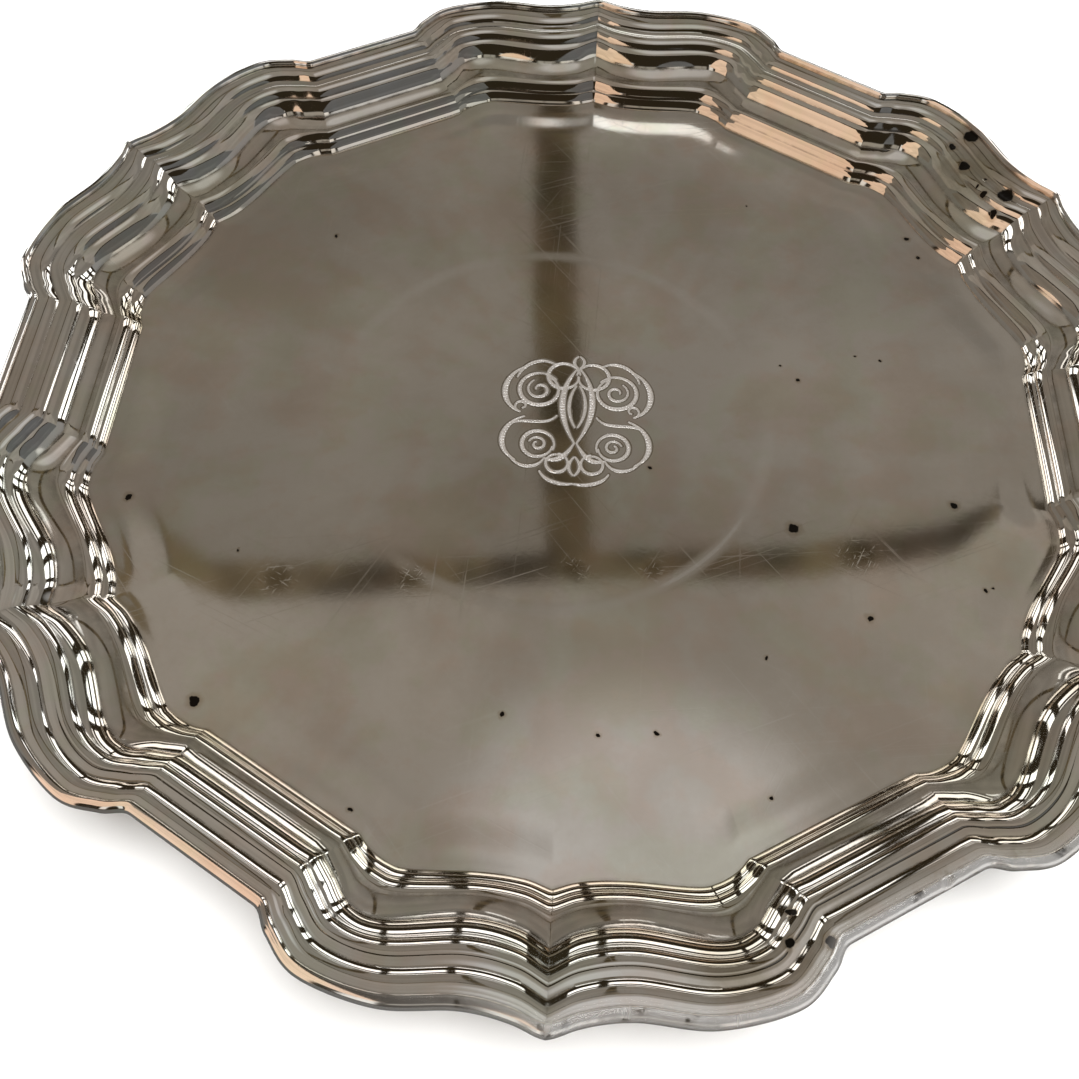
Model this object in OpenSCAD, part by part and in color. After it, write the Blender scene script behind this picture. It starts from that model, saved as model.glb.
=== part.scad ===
// Silver salver: a shallow six-lobed serving tray on three feet, in millimetres.
// +Z is up, the table is at z = 0 and the centre of the tray is on the Z axis.
// One border repeat is a straight side with a lobe at each end; neighbours meet
// in an outward-pointing cusp. The near cusp points along -Y.

/* [Overall size] */
// Distance from the centre to each straight side of the flat well
well_apothem = 118; // [80:1:200]
// Thickness of the plate's sheet
plate_thickness = 1.2; // [0.8:0.1:2]
// Height of each foot, table to plate
foot_height = 17; // [10:0.5:40]

/* [Border] */
// Height of the step around the well
step_rise = 4.6; // [2:0.1:5]
// Height of the cove top, where the applied border starts
cove_rise = 6.4; // [4:0.1:12]
// Height of the border's upper edge, where the lip wire starts
border_rise = 13.5; // [8:0.1:20]
// Height of the crest of the lip wire above the well
lip_rise = 14.7; // [9:0.1:22]
// Thickness of the border's outer edge, where the lip wire is soldered
edge_thickness = 2; // [1:0.1:4]

/* [Feet] */
// Distance of each foot from the centre
foot_radius = 104; // [60:1:130]
// Diameter of the round sole
sole_d = 15; // [8:0.5:24]
// Diameter of the narrow waist
waist_d = 6.5; // [4:0.5:14]
// Diameter of the flare soldered to the plate
flare_d = 19; // [10:0.5:30]

/* [Smoothness] */
// Facets along each span of the border outline
span_facets = 3; // [1:1:4]
// Facets around each foot
round_facets = 48; // [24:8:96]

/* [Hidden] */

silver = [0.80, 0.79, 0.77];
lip_silver = [0.86, 0.85, 0.83];
foot_silver = [0.72, 0.71, 0.69];

repeats = 6;
sector = 360 / repeats;
half_sector = sector / 2;
first_side = -60;
well_z = foot_height + plate_thickness;

// Outlines of half a repeat, as multiples of the well apothem. X points out of
// the straight side and Y runs along it. Each runs from the end of the straight
// through jog, shoulder, crest, trough and cusp flank to the cusp itself, which
// lies on the mitre plane half a repeat round.
well_line = [[1.0000, 0.1770], [1.0112, 0.2085], [1.0136, 0.2504],
             [1.0014, 0.2895], [0.9388, 0.3919], [0.9049, 0.4647],
             1.0326 * [cos(half_sector), sin(half_sector)]];
wall_line = [[1.0690, 0.1613], [1.0890, 0.2038], [1.1115, 0.2549],
             [1.0979, 0.3163], [1.0200, 0.4273], [0.9888, 0.5074],
             1.1380 * [cos(half_sector), sin(half_sector)]];
edge_line = [[1.2070, 0.1350], [1.2336, 0.1834], [1.2561, 0.2633],
             [1.2240, 0.3950], [1.1556, 0.5055], [1.1256, 0.5864],
             1.2930 * [cos(half_sector), sin(half_sector)]];
// The straight meets the lobe in a crisp corner on the two inner lines and
// flows into it on the outer edge: 0 is crisp, 1 is smooth.
corner_flow = [0, 0, 1];

// Profile points across the rim. The first number is the place between the
// outlines: 0 well line, 1 wall line, 2 outer edge. The second is the height
// above the well.
step_w = 0.467;
flange_w = 1.4;
lip_w = 1.84;
cove_power = 1.6;
bed_rise = cove_rise + 2.6;
lip_underside = border_rise - edge_thickness;

function cove_z(w) =
    step_rise + (cove_rise - step_rise) * pow((w - step_w) / (1 - step_w), cove_power);

// Two roundels with a crease between them, as parts of the step's rise.
step_profile = [for (s = [[0, 0], [0.03, 0.33], [0.1, 0.44], [0.19, 0.5],
                          [0.223, 0.69], [0.3, 0.86], [step_w, 1]])
    [s.x, s.y * step_rise]];
cove_profile = [for (w = [0.65, 0.83, 1]) [w, cove_z(w)]];
// The sheet keeps its thickness square to the slope, so it is deeper upright
// where it climbs.
plate_under = [[flange_w, bed_rise - 1.1 * plate_thickness],
               [1, cove_rise - 1.7 * plate_thickness],
               [0.72, cove_z(0.72) - 1.3 * plate_thickness],
               [0.4, step_rise - 1.1 * plate_thickness],
               [0, -plate_thickness]];
plate_profile = concat(step_profile, cove_profile, [[flange_w, bed_rise]], plate_under);

// The border climbs in a broad sloping wall, a crease and a bead.
wall_profile = [for (s = [[1, 0], [1.038, 1.28], [1.09, 2.3], [1.156, 3.08], [1.237, 3.6],
                          [1.267, 4.43], [1.307, 5.04], [1.356, 5.41], [1.415, 5.55]])
    [s.x, cove_rise + s.y]];
// Above it a flat shelf and a third roundel lead out to the lip.
upper_profile = [for (s = [[1.489, 1.64], [1.562, 1.5], [1.604, 0.8], [1.652, 0.34],
                           [1.705, 0.1], [1.765, 0.1], [lip_w, 0]])
    [s.x, border_rise - s.y]];
border_under = [[lip_w, lip_underside], [1.6, border_rise - 3], [flange_w, bed_rise]];
border_profile = concat(wall_profile, upper_profile, border_under);

// The lip wire has a flat back against the border's edge and a round front.
lip_profile = [[lip_w, border_rise], [1.865, lip_rise - 0.45], [1.9, lip_rise],
               [1.94, lip_rise], [1.975, lip_rise - 0.5], [2, border_rise - 0.1],
               [1.985, border_rise - 1.3], [1.94, border_rise - 2.1],
               [1.885, border_rise - 2.35], [lip_w, lip_underside]];

// Cubic curve through two points with given end directions.
function hermite(a, b, da, db, t) =
    (2 * t^3 - 3 * t^2 + 1) * a + (t^3 - 2 * t^2 + t) * da
    + (3 * t^2 - 2 * t^3) * b + (t^3 - t^2) * db;

function outline_slope(p, i, flow) =
    i == 0 ? (1 - flow) * (p[1] - p[0]) + flow * [0, norm(p[1] - p[0])]
    : i == len(p) - 1 ? p[i] - p[i - 1]
    : (p[i + 1] - p[i - 1]) / 2;

// Half a repeat: the end of the straight, then every span up to the cusp.
function half_outline(p, flow) =
    [for (i = [0 : len(p) - 2], k = [0 : span_facets - 1])
        hermite(p[i], p[i + 1], outline_slope(p, i, flow), outline_slope(p, i + 1, flow),
                k / span_facets),
     p[len(p) - 1]];

// A whole repeat runs from cusp to cusp across the straight.
function mirrored(h) = [for (i = [len(h) - 1 : -1 : 0]) [h[i].x, -h[i].y]];
function repeat_outline(p, flow) =
    let (h = half_outline(p, flow)) concat(mirrored(h), h);

outlines = [repeat_outline(well_line, corner_flow[0]),
            repeat_outline(wall_line, corner_flow[1]),
            repeat_outline(edge_line, corner_flow[2])];
columns = len(outlines[0]);

// Point j of the outline at profile place w, in millimetres.
function rim_xy(w, j) =
    let (k = min(floor(w), 1))
    well_apothem * ((k + 1 - w) * outlines[k][j] + (w - k) * outlines[k + 1][j]);

function turned(p, a) = [p.x * cos(a) - p.y * sin(a), p.x * sin(a) + p.y * cos(a)];
function rim_point(s, j, a) =
    let (p = turned(rim_xy(s[0], j), a)) [p.x, p.y, well_z + s[1]];

// Two triangles for each cell between neighbouring rows and columns; the
// diagonal follows "rising" so that pieces in contact share the same facets.
function cell(a, b, c, d, rising) =
    rising ? [[a, b, c], [a, c, d]] : [[a, b, d], [b, c, d]];

// A length of moulding from one mitre plane to the next, closed at both ends.
module moulding(profile, angle, rising) {
    rows = len(profile);
    points = [for (j = [0 : columns - 1], i = [0 : rows - 1]) rim_point(profile[i], j, angle)];
    sides = [for (j = [0 : columns - 2], i = [0 : rows - 1])
        let (n = (i + 1) % rows, a = j * rows, b = (j + 1) * rows)
        each cell(a + i, b + i, b + n, a + n, rising)];
    start = [[for (i = [0 : rows - 1]) i]];
    finish = [[for (i = [rows - 1 : -1 : 0]) (columns - 1) * rows + i]];
    polyhedron(points, concat(sides, start, finish), convexity = 6);
}

// The raised plate: flat well, first step, cove and the flange under the border.
module plate() color(silver) {
    rows = len(plate_profile);
    around = repeats * (columns - 1);
    rim = [for (r = [0 : repeats - 1], j = [0 : columns - 2], i = [0 : rows - 1])
        rim_point(plate_profile[i], j, first_side + sector * r)];
    middle_top = len(rim);
    middle_under = middle_top + 1;
    points = concat(rim, [[0, 0, well_z], [0, 0, foot_height]]);
    sides = [for (q = [0 : around - 1], i = [0 : rows - 2])
        let (a = q * rows, b = ((q + 1) % around) * rows)
        each cell(a + i, b + i, b + i + 1, a + i + 1, true)];
    well = [for (q = [0 : around - 1])
        let (a = q * rows, b = ((q + 1) % around) * rows)
        each [[middle_top, b, a], [middle_under, a + rows - 1, b + rows - 1]]];
    polyhedron(points, concat(sides, well), convexity = 8);
}

module border_section(n) color(silver)
    moulding(border_profile, first_side + sector * (n - 1), false);

module lip_wire(n) color(lip_silver)
    moulding(lip_profile, first_side + sector * (n - 1), true);

// A cast pad foot, as half outlines: a round sole, a hollow-sided stem and a
// flare that is soldered to the plate.
sole_top = 2.6;
flare_edge = 0.9;
stem_top = foot_height - 1.6;
stem_flare = flare_d / 2 - waist_d / 2 - 0.8;
sole_outline = [[0, 0], [sole_d / 2 - 0.8, 0], [sole_d / 2, 0.8],
                [sole_d / 2, sole_top - 0.8], [sole_d / 2 - 1, sole_top]];
stem_outline = [for (u = [0 : 0.1 : 1])
    let (lean = abs(2 * u - 0.8)^3 * (u < 0.4 ? 4 : 1 / 1.2^3))
    [waist_d / 2 + lean * (u < 0.4 ? 1 : stem_flare), sole_top + u * (stem_top - sole_top)]];
flare_outline = [[flare_d / 2, foot_height - flare_edge], [flare_d / 2, foot_height],
                 [0, foot_height]];
module foot(n) color(foot_silver)
    rotate([0, 0, -90 + 2 * sector * (n - 1)])
    translate([foot_radius, 0, 0])
    rotate_extrude($fn = round_facets)
    polygon(concat(sole_outline, stem_outline, flare_outline));

plate();
border_section(1);  // border_section_1
border_section(2);  // border_section_2
border_section(3);  // border_section_3
border_section(4);  // border_section_4
border_section(5);  // border_section_5
border_section(6);  // border_section_6
lip_wire(1);  // lip_wire_1
lip_wire(2);  // lip_wire_2
lip_wire(3);  // lip_wire_3
lip_wire(4);  // lip_wire_4
lip_wire(5);  // lip_wire_5
lip_wire(6);  // lip_wire_6
foot(1);  // foot_1
foot(2);  // foot_2
foot(3);  // foot_3
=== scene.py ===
"""A six-sided silver salver: a satin well, a moulded pie-crust border, a rounded lip and turned feet.

Heights and distances out are in model millimetres unless a comment says apothems: mm turns them into metres.
"""

from math import cos, pi, radians, sin

import bmesh
import bpy
import numpy as np
from mathutils import Matrix, Vector


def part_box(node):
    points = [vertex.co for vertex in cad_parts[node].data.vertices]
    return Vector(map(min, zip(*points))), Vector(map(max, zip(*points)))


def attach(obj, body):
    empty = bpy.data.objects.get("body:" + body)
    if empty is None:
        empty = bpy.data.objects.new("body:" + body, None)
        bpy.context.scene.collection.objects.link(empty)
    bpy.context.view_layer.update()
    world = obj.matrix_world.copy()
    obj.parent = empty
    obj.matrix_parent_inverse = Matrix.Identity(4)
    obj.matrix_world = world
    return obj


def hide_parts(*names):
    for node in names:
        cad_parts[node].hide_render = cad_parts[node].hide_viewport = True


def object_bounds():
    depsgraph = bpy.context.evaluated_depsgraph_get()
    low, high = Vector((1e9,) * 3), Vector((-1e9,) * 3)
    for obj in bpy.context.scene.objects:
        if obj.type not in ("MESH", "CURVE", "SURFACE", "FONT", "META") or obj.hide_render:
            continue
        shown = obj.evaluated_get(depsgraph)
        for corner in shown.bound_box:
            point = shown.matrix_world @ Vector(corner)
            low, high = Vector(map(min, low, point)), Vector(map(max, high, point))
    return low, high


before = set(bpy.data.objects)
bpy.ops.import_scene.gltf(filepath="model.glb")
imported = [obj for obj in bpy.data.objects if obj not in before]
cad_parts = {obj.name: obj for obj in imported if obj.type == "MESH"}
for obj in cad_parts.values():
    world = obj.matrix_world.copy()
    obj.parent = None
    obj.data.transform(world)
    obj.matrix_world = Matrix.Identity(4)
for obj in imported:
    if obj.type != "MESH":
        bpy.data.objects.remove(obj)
cad_low, cad_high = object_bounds()

# ---------------------------------------------------------------- sizes
SIDES = 6
CUSP_REACH = 1.293  # cusp radius of the lip, in well apothems
MODEL_APOTHEM = 118.0  # millimetres, at the scale the shapes below are written in
apothem = (cad_high.y - cad_low.y) / 2 / CUSP_REACH
mm = apothem / MODEL_APOTHEM
foot_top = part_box("foot_1")[1].z
PLATE_GAUGE = 1.2
well_z = foot_top + PLATE_GAUGE * mm

# Half a side's outlines in apothems, x out of the straight and y along it. The points are the straight's end,
# the jog, the shoulder, the crest, the trough, the flank and the cusp.
CUSP = np.array([cos(pi / SIDES), sin(pi / SIDES)])
WALL_REACH, EDGE_REACH = 1.069, 1.207  # the straight's wall line and outer edge
WELL_LINE = [(1.0, .1770), (1.0112, .2085), (1.0136, .2504), (1.0014, .2895), (.9388, .3919),
             (.9049, .4647), 1.0326 * CUSP]
WALL_LINE = [(WALL_REACH, .1613), (1.089, .2038), (1.1115, .2549), (1.0979, .3163), (1.02, .4273),
             (.9888, .5074), 1.138 * CUSP]
EDGE_LINE = [(EDGE_REACH, .1350), (1.2336, .1834), (1.2561, .2633), (1.224, .395), (1.1556, .5055),
             (1.1256, .5864), CUSP_REACH * CUSP]
WALL_OUT = WALL_REACH * MODEL_APOTHEM - MODEL_APOTHEM  # from the well line to the wall line, on a straight
EDGE_OUT = EDGE_REACH * MODEL_APOTHEM - WALL_REACH * MODEL_APOTHEM  # from the wall line to the outer edge
STRAIGHT_CELLS, SPAN_CELLS = 6, 10  # mesh cells on half the straight, and on each span of the curve
RIM_SPAN_CELLS = 14  # the border and lip are finer
LIP_STRAIGHT_CELLS = 24  # the lip's straight is finer still, to carry its dents

# Heights above the well's top face.
STEP_IN, STEP_OUT = -.35, 3.8  # how far out the first step starts and ends
STEP_FOOT, STEP_UP = -.16, 4.6
TROUGH = .30  # depth of the shallow trough that runs round the well's edge
COVE_UP = 6.4  # the cove's outer end, at the wall line
BED_UP = COVE_UP + 2.6  # the flange's outer end, where the border is soldered
BORDER_UP = 13.5
LIP_UP = 14.7
LIP_UNDER = BORDER_UP - 2
FLANGE_W, LIP_W = 1.4, 1.84  # the flange's end and the lip's joint, in the rim's measure w, as in rim_row


def hermite(a, b, slope_a, slope_b, t):
    """The cubic from a to b with the given slopes at its ends."""
    return ((2 * t**3 - 3 * t**2 + 1) * a + (t**3 - 2 * t**2 + t) * slope_a
            + (3 * t**2 - 2 * t**3) * b + (t**3 - t**2) * slope_b)


def side_line(line, flow, straight_cells=STRAIGHT_CELLS, span_cells=SPAN_CELLS):
    """One side's outline from cusp to cusp. With flow 1 the curve leaves the straight without a corner."""
    points = np.array(line)
    lead = points[1] - points[0]
    first = (1 - flow) * lead + flow * np.array([0, np.hypot(*lead)])
    slopes = [first, *((points[2:] - points[:-2]) / 2), points[-1] - points[-2]]
    t = (np.arange(span_cells) / span_cells)[:, None]
    run = np.linspace(0, 1, straight_cells, endpoint=False)[:, None]
    straight = run * (points[0] * [0, 1]) + points[0] * [1, 0]
    curves = [hermite(points[i], points[i + 1], slopes[i], slopes[i + 1], t) for i in range(len(points) - 1)]
    half = np.vstack([straight, *curves, points[-1:]])
    return np.vstack([half[:0:-1] * [1, -1], half])


def side_lines(span_cells=SPAN_CELLS, straight_cells=STRAIGHT_CELLS):
    """A side's well line, wall line and outer edge, with the same number of points each."""
    outlines = ((WELL_LINE, 0), (WALL_LINE, 0), (EDGE_LINE, 1))
    return [side_line(line, flow, straight_cells, span_cells) for line, flow in outlines]


def turned(points, angle):
    """Flat points turned about the middle of the salver."""
    c, s = cos(angle), sin(angle)
    return points @ np.array([[c, s], [-s, c]])


def side_angle(n):
    """Direction of straight side n, counted from 1."""
    return radians(-60 + 60 * (n - 1))


def rim_row(lines, w, up, angle):
    """A line of points along a side. w is 0 at the well line, 1 at the wall line and 2 at the outer edge."""
    k = min(int(w), 1)
    flat = turned(((k + 1 - w) * lines[k] + (w - k) * lines[k + 1]) * apothem, angle)
    return np.column_stack([flat, np.full(len(flat), well_z + up * mm)])


def out_to_w(out):
    """Millimetres out from the well line on a straight side, as the rim's own measure w."""
    return out / WALL_OUT if out < WALL_OUT else 1 + (out - WALL_OUT) / EDGE_OUT


def arc(a, b, bulge, cells):
    """Points on a shallow arc from a, which is left out, to b. bulge is its height over its length."""
    a, b = np.array(a, float), np.array(b, float)
    t = np.linspace(0, 1, cells + 1)[1:, None]
    across = np.array([a[1] - b[1], b[0] - a[0]])
    return a + (b - a) * t + across * 4 * bulge * t * (1 - t)


# ---------------------------------------------------------------- mesh helpers
SHARP = 34  # degrees between faces from which an edge is shaded sharp


def piece(name, points, faces, marks, material, node):
    """Makes a closed mesh piece that stands for one CAD node. marks are point attributes for its material."""
    mesh = bpy.data.meshes.new(name)
    mesh.from_pydata(np.asarray(points).tolist(), [], faces)
    for key, values in marks.items():
        mark = mesh.attributes.new(key, "FLOAT", "POINT")
        mark.data.foreach_set("value", np.asarray(values, np.float32))
    work = bmesh.new()
    work.from_mesh(mesh)
    bmesh.ops.recalc_face_normals(work, faces=work.faces)
    work.to_mesh(mesh)
    work.free()
    mesh.shade_smooth()
    mesh.set_sharp_from_angle(angle=radians(SHARP))
    mesh.materials.append(material)
    thing = bpy.data.objects.new(name, mesh)
    bpy.context.collection.objects.link(thing)
    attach(thing, "root")
    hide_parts(node)
    return thing


def strip_faces(rows, columns, start=0, closed=False, wrap=False):
    """Quads over a grid of rows; closed joins each row's ends, wrap joins the last row to the first."""
    faces = []
    for r in range(rows if wrap else rows - 1):
        a, b = start + r * columns, start + (r + 1) % rows * columns
        for c in range(columns if closed else columns - 1):
            d = (c + 1) % columns
            faces.append((a + c, a + d, b + d, b + c))
    return faces


# ---------------------------------------------------------------- engraving
CUT_SLOPE = 0.42  # rise over run of the graver's V cut
THIN_CUT, THICK_CUT = 0.28, 0.90  # half widths in millimetres
CUT_RIM = 0.32  # width of the stained metal beside a cut
RIBBED_FROM = 0.5  # half width from which a stroke is ribbed
ORNAMENT_SCALE = 0.92
ORNAMENT_DROP = 1.2  # how far the ornament's middle lies in front of the plate's
HATCH_PITCH = 0.95  # spacing of the bright-cut ribs across the broad strokes


def curve(a, b, c, d, steps=26):
    """A Bezier curve from a to d."""
    t = np.linspace(0, 1, steps)[:, None]
    a, b, c, d = map(np.array, (a, b, c, d))
    return (1 - t)**3 * a + 3 * (1 - t)**2 * t * b + 3 * (1 - t) * t**2 * c + t**3 * d


def volute(centre, radius, end_radius, start, turn, steps=54):
    """A spiral about centre, from one radius to another, through turn degrees."""
    t = np.linspace(0, 1, steps)
    angle = np.radians(start + turn * t)
    r = radius + (end_radius - radius) * t
    return np.column_stack([centre[0] + r * np.cos(angle), centre[1] + r * np.sin(angle)])


def scroll_strokes():
    """Right half of a symmetric scroll ornament: polylines in millimetres with a weight each."""
    return [
        (curve((.4, 17.5), (5.4, 10.5), (5.6, .5), (.3, -8.6), 40), 1.0),
        (curve((.5, 11.2), (2.9, 7), (2.9, 1.2), (.4, -3.2)), .55),
        (volute((4.2, 14.6), 4.7, 4.3, 170, -350, 60), .62),
        (volute((10.9, 9.4), 5.9, 5.3, 140, -380, 64), .72),
        (volute((10.9, 9.4), 3.6, 1.0, 60, -420, 48), .5),
        (curve((6.6, 18.6), (10.8, 21.6), (16.2, 18.4), (17.4, 13.4)), .62),
        (curve((15.6, 17.2), (21.8, 13.6), (22.6, 4.4), (16.2, 1.2), 36), .95),
        (volute((15.6, 3.3), 2.1, .8, -80, 330, 26), .4),
        (curve((5.6, .4), (8.4, -3.8), (13.6, -.6), (18.6, -3.0)), .5),
        (curve((14.6, -.4), (21.4, -3.2), (22.4, -11.8), (16.4, -15.2), 36), .92),
        (curve((17.8, -14.2), (15.2, -18.2), (10.2, -18.0), (8.6, -14.6)), .55),
        (volute((10.4, -9.6), 4.6, 4.1, 200, -370, 58), .66),
        (volute((10.4, -9.6), 2.5, .8, 20, 400, 40), .45),
        (curve((.3, -8.6), (2.6, -13.4), (4.6, -15.6), (8.4, -14.2)), .8),
        (volute((4.9, -15.6), 3.2, 2.8, 100, 370, 44), .5),
        (curve((.2, -22.2), (3.6, -22.8), (7.8, -21.8), (9.4, -18.6)), .6),
        (curve((.2, -13.4), (1.9, -15.6), (1.9, -17.6), (.2, -19.4)), .5),
        (curve((.3, 22.0), (1.8, 20.9), (1.8, 19.0), (.3, 17.8)), .5),
    ]


def cut_stretch(flat, cut, mark, a, b, half, run):
    """Cuts the straight stretch from a to b. half is its half width, run its distance along the stroke."""
    reach = half + CUT_RIM
    low, high = np.minimum(a, b) - reach, np.maximum(a, b) + reach
    near = np.flatnonzero(((flat >= low) & (flat <= high)).all(1))
    if not len(near):
        return
    along = b - a
    t = np.clip(((flat[near] - a) @ along) / max(along @ along, 1e-9), 0, 1)
    gap = np.hypot(*(flat[near] - a - t[:, None] * along).T)
    ribs = 1
    if half > RIBBED_FROM:
        ribs = .7 + .3 * np.cos(2 * pi * (run + t * np.hypot(*along)) / HATCH_PITCH)
    cut[near] = np.maximum(cut[near], np.maximum(half - gap, 0) * ribs * CUT_SLOPE)
    inside = 1 - gap / (2 * half)
    beside = .5 * (1 - (gap - half) / CUT_RIM)
    mark[near] = np.maximum(mark[near], np.where(gap < half, inside, np.maximum(beside, 0)))


def engraving(flat):
    """How deep each point is cut, and a mark: 1 on a cut's middle line, .5 on its edge and 0 off its rim."""
    cut, mark = np.zeros(len(flat)), np.zeros(len(flat))
    for line, weight in scroll_strokes():
        swell = np.maximum(np.sin(np.linspace(0, pi, len(line))), 0)**1.5
        half = THIN_CUT + (THICK_CUT * weight - THIN_CUT) * swell
        run = np.concatenate([[0], np.cumsum(np.hypot(*np.diff(line, axis=0).T))])
        for side in (1, -1):
            path = line * [side, 1] * ORNAMENT_SCALE
            for i in range(len(path) - 1):
                cut_stretch(flat, cut, mark, path[i], path[i + 1], half[i], run[i])
    return cut, mark


# ---------------------------------------------------------------- plate
DISC_RADIUS = 24.0  # the finely meshed disc that holds the ornament
DISC_CELLS = SIDES * 2 * (STRAIGHT_CELLS + 6 * SPAN_CELLS) // 4  # its rim has as many points as the well line
CREASE = (1.55, 2.3)  # out and up of the crease half way up the first step
COVE_CELLS, FLANGE_CELLS = 14, 4
WELL_RINGS = (.03, .1, .22, .4, .6, .75, .85)  # from the disc's edge, 0, to the step's foot, 1
TROUGH_RINGS = ((.868, .05), (.886, .2), (.904, .43), (.922, .68), (.938, .88), (.952, .99), (.966, .97),
                (.98, .82), (.992, .62))  # the same measure, and the share of the trough's depth
UNDER_RINGS = (.05, .3, .6, .9)  # from the step's foot to the middle


def disc_points():
    """A square grid drawn onto a disc, evenly spaced round its edge."""
    side = np.linspace(-1, 1, DISC_CELLS + 1)
    a, b = np.meshgrid(side, side)
    a, b = a.ravel(), b.ravel()
    wide = np.abs(a) >= np.abs(b)
    r = np.where(wide, a, b)
    safe = np.where(r == 0, 1, r)
    angle = np.where(wide, pi / 4 * b / safe, pi / 2 - pi / 4 * a / safe)
    return DISC_RADIUS * np.column_stack([r * np.cos(angle), r * np.sin(angle)])


def disc_edge():
    """The disc's edge points in the order of the rim's columns, which start at the cusp at -90 degrees."""
    n, m = DISC_CELLS, DISC_CELLS + 1
    ring = [r * m + n for r in range(n)] + [n * m + n - c for c in range(n)]
    ring += [(n - r) * m for r in range(n)] + [c for c in range(n)]
    return ring[-n // 2:] + ring[:-n // 2]


def cove_up(w):
    """The cove's height at w, between the first step and the wall line."""
    start = out_to_w(STEP_OUT)
    return STEP_UP + (COVE_UP - STEP_UP) * ((w - start) / (1 - start))**1.6


def plate_top():
    """Rows of the plate's upper side from the well out: w, height, polish and a crevice mark for each, which
    darkens as tarnish and painted shade.
    """
    rows = []
    foot, head = (STEP_IN, STEP_FOOT), (STEP_OUT, STEP_UP)
    for out, up in np.vstack([[foot], arc(foot, CREASE, .09, 8), arc(CREASE, head, .09, 9)]):
        # Painted shade with some tarnish: darker at the step's foot and along its crease.
        tarnish_and_shade = max(0, 1 - (out - STEP_IN) / .35) * .3 + max(0, 1 - abs(out - CREASE[0]) / .2) * .5
        rows.append((out_to_w(out), up, 1 if out > STEP_IN else .3, tarnish_and_shade))
    for w in np.linspace(out_to_w(STEP_OUT), 1, COVE_CELLS + 1)[1:]:
        # Painted shade with some tarnish: darker where the cove leaves the step and at the wall's foot.
        tarnish_and_shade = max(0, 1 - (w - out_to_w(STEP_OUT)) / .3) * .55 + max(0, 1 - (1 - w) / .06)
        rows.append((w, cove_up(w), .8, tarnish_and_shade))
    for w in np.linspace(1, FLANGE_W, FLANGE_CELLS + 1)[1:]:
        rows.append((w, COVE_UP + (BED_UP - COVE_UP) * (w - 1) / (FLANGE_W - 1), 1, .5))
    return rows


def plate_under():
    """Rows of the plate's underside from the flange back in, as in plate_top."""
    shape = (
        (FLANGE_W, BED_UP, 1.1), (1.3, BED_UP, 1.4), (1.15, COVE_UP, 1.2), (1, COVE_UP, 1.7),
        (.86, cove_up(.86), 1.4), (.72, cove_up(.72), 1.3), (.58, cove_up(.58), 1.3),
        (.45, STEP_UP, 1.7), (.3, STEP_UP * .62, 1.7), (.16, STEP_UP * .36, 1.8), (.06, 0, .75), (0, 0, 1),
    )
    return [(w, above - thick * PLATE_GAUGE, .5, .35) for w, above, thick in shape]


def build_plate(material):
    """The plate: the disc with its engraving, rings out to the flange and back under, and a middle point."""
    lines = side_lines()
    flat = disc_points()
    cut, mark = engraving(flat + [0, ORNAMENT_DROP])
    disc = np.column_stack([flat * mm, well_z - cut * mm])
    edge = np.array(disc_edge())
    columns = len(edge)
    inner = disc[edge]
    angles = [side_angle(n) for n in range(1, SIDES + 1)]

    def whole_ring(w, up):
        return np.vstack([rim_row(lines, w, up, angle)[:-1] for angle in angles])

    outward = whole_ring(out_to_w(STEP_IN), 0) - inner
    rings = [inner + outward * t for t in WELL_RINGS]
    rings += [inner + outward * t - [0, 0, share * TROUGH * mm] for t, share in TROUGH_RINGS]
    marks = [(0, 0)] * len(rings)
    for w, up, polish, tarnish_and_shade in plate_top() + plate_under():
        rings.append(whole_ring(w, up))
        marks.append((polish, tarnish_and_shade))
    under = whole_ring(0, -PLATE_GAUGE)
    rings += [under * [1 - t, 1 - t, 1] for t in UNDER_RINGS]
    marks += [(.3, .3)] * len(UNDER_RINGS)

    start = len(flat)
    last = start + (len(rings) - 1) * columns
    middle = last + columns
    faces = strip_faces(DISC_CELLS + 1, DISC_CELLS + 1)
    after = [(c + 1) % columns for c in range(columns)]
    faces += [(int(edge[c]), int(edge[d]), start + d, start + c) for c, d in enumerate(after)]
    faces += strip_faces(len(rings), columns, start, closed=True)
    faces += [(last + c, last + d, middle) for c, d in enumerate(after)]
    points = np.vstack([disc, *rings, [[0, 0, well_z - PLATE_GAUGE * mm]]])
    polish, tarnish_and_shade = np.repeat(marks, columns, axis=0).T
    marks = {
        "polish": np.concatenate([np.zeros(start), polish, [.3]]),
        "tarnish_and_shade": np.concatenate([np.zeros(start), tarnish_and_shade, [.3]]),
        "graved": np.concatenate([mark, np.zeros(len(rings) * columns + 1)]),
    }
    return piece("plate_body", dented(points), faces, marks, material, "plate")


# ---------------------------------------------------------------- border
# Out and up of the border's lines on a straight side, from the wall's foot to the outer edge.
BORDER_WALL, BEAD, BEAD_HEAD = (WALL_OUT, COVE_UP), (12.0, 10.0), (14.9, 11.8)
SHELF, RIDGE, BORDER_EDGE = (17.3, 11.8), (20.8, 13.45), ((LIP_W - 1) * EDGE_OUT + WALL_OUT, BORDER_UP)
BORDER_UNDER = (  # w and height from the lip's joint back to the wall's foot; the last four lie on the flange
    (LIP_W, BORDER_UP - 1), (LIP_W, LIP_UNDER), (1.76, 11.25), (1.68, 10.95), (1.6, 10.5), (1.5, 9.8),
    (FLANGE_W, BED_UP), (1.3, COVE_UP + 1.95), (1.2, COVE_UP + 1.3), (1.1, COVE_UP + .65),
)
WORN_SIDE = 1  # the near right side
WEAR_FROM, WEAR_WIDE = 1.62, .25  # w from which the worn length is rubbed, and how softly that starts
WEAR_UP, WEAR_TALL = 13.0, .8  # the same for its height
MITRE = .985  # share of the half length from which grime gathers at the mitred joint


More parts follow.
